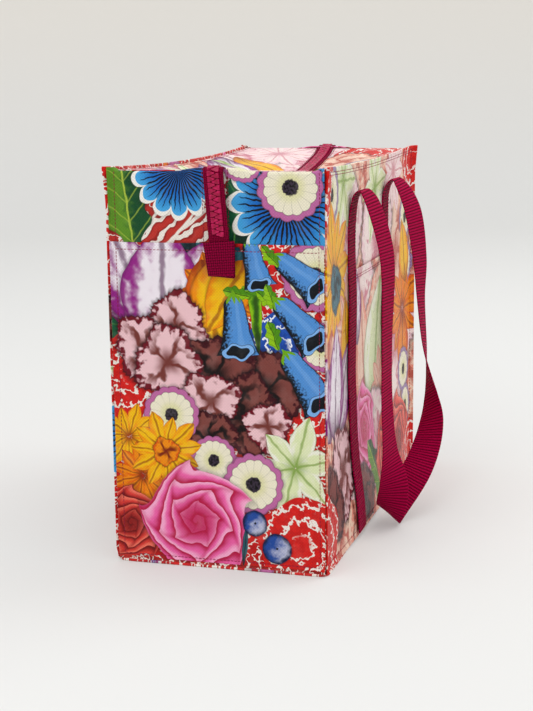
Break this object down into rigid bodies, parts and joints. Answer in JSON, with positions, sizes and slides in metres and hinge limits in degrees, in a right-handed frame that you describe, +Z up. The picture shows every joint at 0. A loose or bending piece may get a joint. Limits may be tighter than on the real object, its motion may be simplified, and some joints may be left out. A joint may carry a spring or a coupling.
{
  "type": "foldable tote bag",
  "caption": "Boxy zip-top tote bag of printed woven sheet with patch pockets, hanging webbing handles and zip tails; folds flat.",
  "frame": {"origin": "centre of the base, on the floor", "axes": "+X along the bag's length, +Z up, front wall facing -Y"},
  "size_m": [0.433, 0.3252, 0.3604],
  "materials": {
    "printed_sheet": "glossy laminated woven sheet with a floral print",
    "webbing": "cross-ribbed matte webbing",
    "zip_tape": "woven tape",
    "zip_teeth": "moulded plastic",
    "zip_slider": "enamelled"
  },
  "bodies": {
    "front": {"front_panel": "printed_sheet", "front_pocket": "printed_sheet", "front_strap_left": "webbing", "front_strap_right": "webbing", "base_panel": "printed_sheet", "left_end_panel": "printed_sheet", "right_end_panel": "printed_sheet", "left_end_pocket": "printed_sheet", "right_end_pocket": "printed_sheet", "top_strip_front": "printed_sheet"},
    "back": {"back_panel": "printed_sheet", "back_pocket": "printed_sheet", "back_strap_left": "webbing", "back_strap_right": "webbing", "top_strip_back": "printed_sheet"},
    "zip_line": {"zip_tape_front": "zip_tape", "zip_tape_back": "zip_tape", "zip_teeth_front": "zip_teeth", "zip_teeth_back": "zip_teeth"},
    "zip_slider": {"zip_slider": "zip_slider"},
    "slider_pull": {"slider_pull": "zip_slider"},
    "left_tail": {"left_tail_tape": "zip_tape", "left_tail_teeth": "zip_teeth", "left_tail_tab": "webbing"},
    "right_tail": {"right_tail_tape": "zip_tape", "right_tail_teeth": "zip_teeth", "right_tail_tab": "webbing"},
    "front_handle": {"front_handle": "webbing"},
    "back_handle": {"back_handle": "webbing"}
  },
  "joints": [
    {"name": "fold_flat", "type": "slide", "parent": "front", "child": "back", "axis": [0, -1, 0], "range_m": [0, 0.168], "deforming": ["base_panel", "left_end_panel", "right_end_panel", "left_end_pocket", "right_end_pocket", "top_strip_front", "top_strip_back"]},
    {"name": "zip_line_follow", "type": "slide", "parent": "front", "child": "zip_line", "axis": [0, -1, 0], "range_m": [0, 0.084]},
    {"name": "zip_slide", "type": "hinge", "parent": "zip_line", "child": "zip_slider", "pos_m": [0, 0, 1.14657], "axis": [0, -1, 0], "range_deg": [0, 22.6]},
    {"name": "pull_flip", "type": "hinge", "parent": "zip_slider", "child": "slider_pull", "pos_m": [-0.14902, 0, 0.35012], "axis": [0, -1, 0], "range_deg": [0, 168]},
    {"name": "left_tail_lift", "type": "hinge", "parent": "zip_line", "child": "left_tail", "pos_m": [-0.211, 0, 0.3585], "axis": [0, 1, 0], "range_deg": [0, 115]},
    {"name": "right_tail_lift", "type": "hinge", "parent": "zip_line", "child": "right_tail", "pos_m": [0.211, 0, 0.3585], "axis": [0, -1, 0], "range_deg": [0, 115]},
    {"name": "front_handle_swing", "type": "hinge", "parent": "front", "child": "front_handle", "pos_m": [0, -0.1053, 0.331], "axis": [-1, 0, 0], "range_deg": [0, 150]},
    {"name": "back_handle_swing", "type": "hinge", "parent": "back", "child": "back_handle", "pos_m": [0, 0.1053, 0.331], "axis": [1, 0, 0], "range_deg": [0, 150]}
  ],
  "couplings": [
    {"joint": "zip_line_follow", "follows": "fold_flat", "ratio": 0.5}
  ]
}
